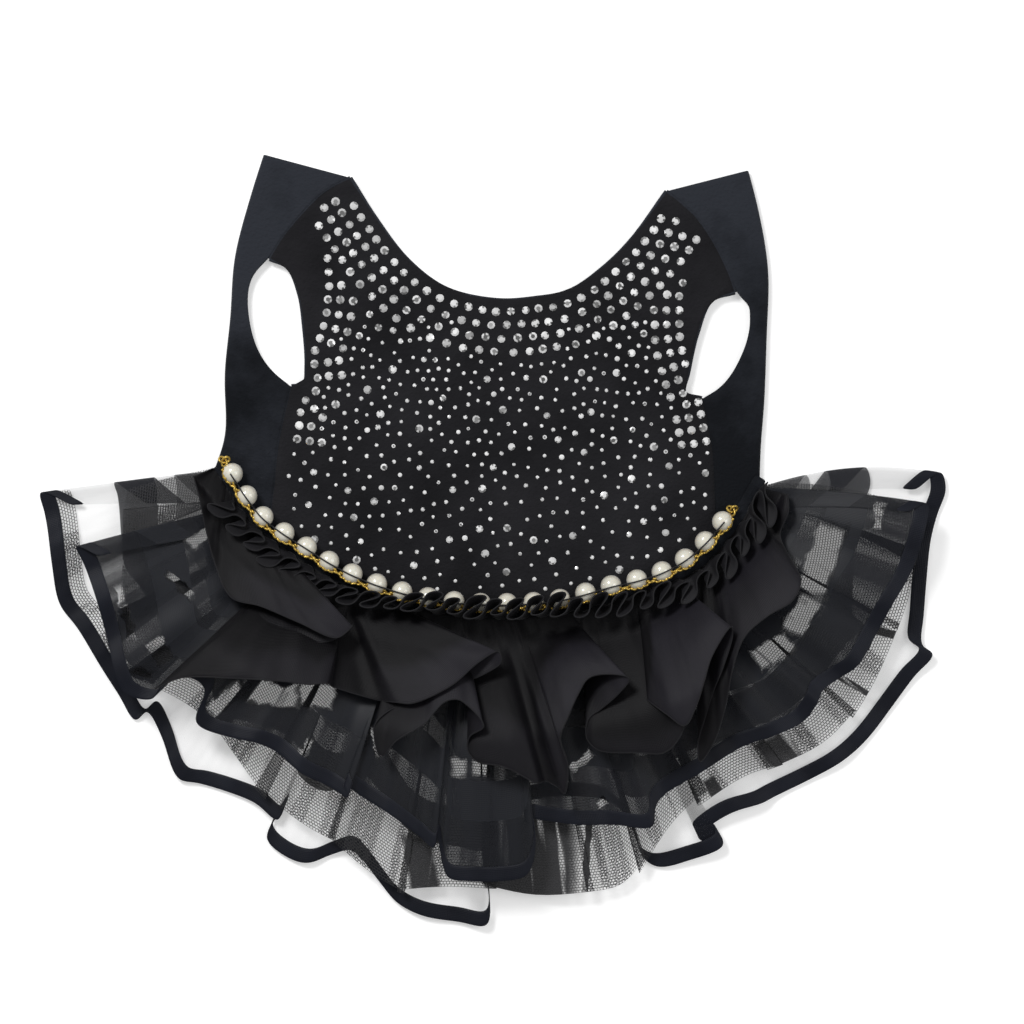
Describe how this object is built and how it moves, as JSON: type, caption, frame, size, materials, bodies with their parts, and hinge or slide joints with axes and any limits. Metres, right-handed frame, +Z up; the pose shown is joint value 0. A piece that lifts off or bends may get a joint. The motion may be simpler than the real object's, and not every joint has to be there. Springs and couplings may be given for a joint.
{
  "type": "pet dress",
  "caption": "Small pet's party dress laid flat, back up: sleeveless bodice with scooped neck, pearl chain along the waist, and a layered ruffled skirt.",
  "frame": {"origin": "on the surface that the dress lies on, under the middle of the belly panel", "axes": "+X across the dress towards the right of the picture, +Y from the skirt towards the neck, +Z up from the surface"},
  "size_m": [0.36, 0.308, 0.0311],
  "materials": {
    "back_velvet": "matt velvet",
    "side_velvet": "matt velvet",
    "organza": "sheer, slightly shiny",
    "net": "matt net",
    "satin": "soft satin",
    "frill_satin": "soft satin",
    "ribbon": "shiny ribbon",
    "gold_thread": "twisted metallic thread",
    "pearl": "pearl gloss"
  },
  "bodies": {
    "root": {"back_panel": "back_velvet", "belly_panel": "side_velvet", "left_side_panel": "side_velvet", "right_side_panel": "side_velvet", "long_tier": "organza", "net_tier": "net", "middle_tier": "organza", "satin_tier": "satin", "long_hem_ribbon": "ribbon", "middle_hem_ribbon": "ribbon", "waist_frill": "frill_satin", "chain_thread": "gold_thread", "pearl_01": "pearl", "pearl_02": "pearl", "pearl_03": "pearl", "pearl_04": "pearl", "pearl_05": "pearl", "pearl_06": "pearl", "pearl_07": "pearl", "pearl_08": "pearl", "pearl_09": "pearl", "pearl_10": "pearl", "pearl_11": "pearl", "pearl_12": "pearl", "pearl_13": "pearl", "pearl_14": "pearl", "pearl_15": "pearl", "pearl_16": "pearl", "pearl_17": "pearl", "pearl_18": "pearl", "pearl_19": "pearl", "pearl_20": "pearl", "pearl_21": "pearl", "pearl_22": "pearl"}
  },
  "joints": []
}
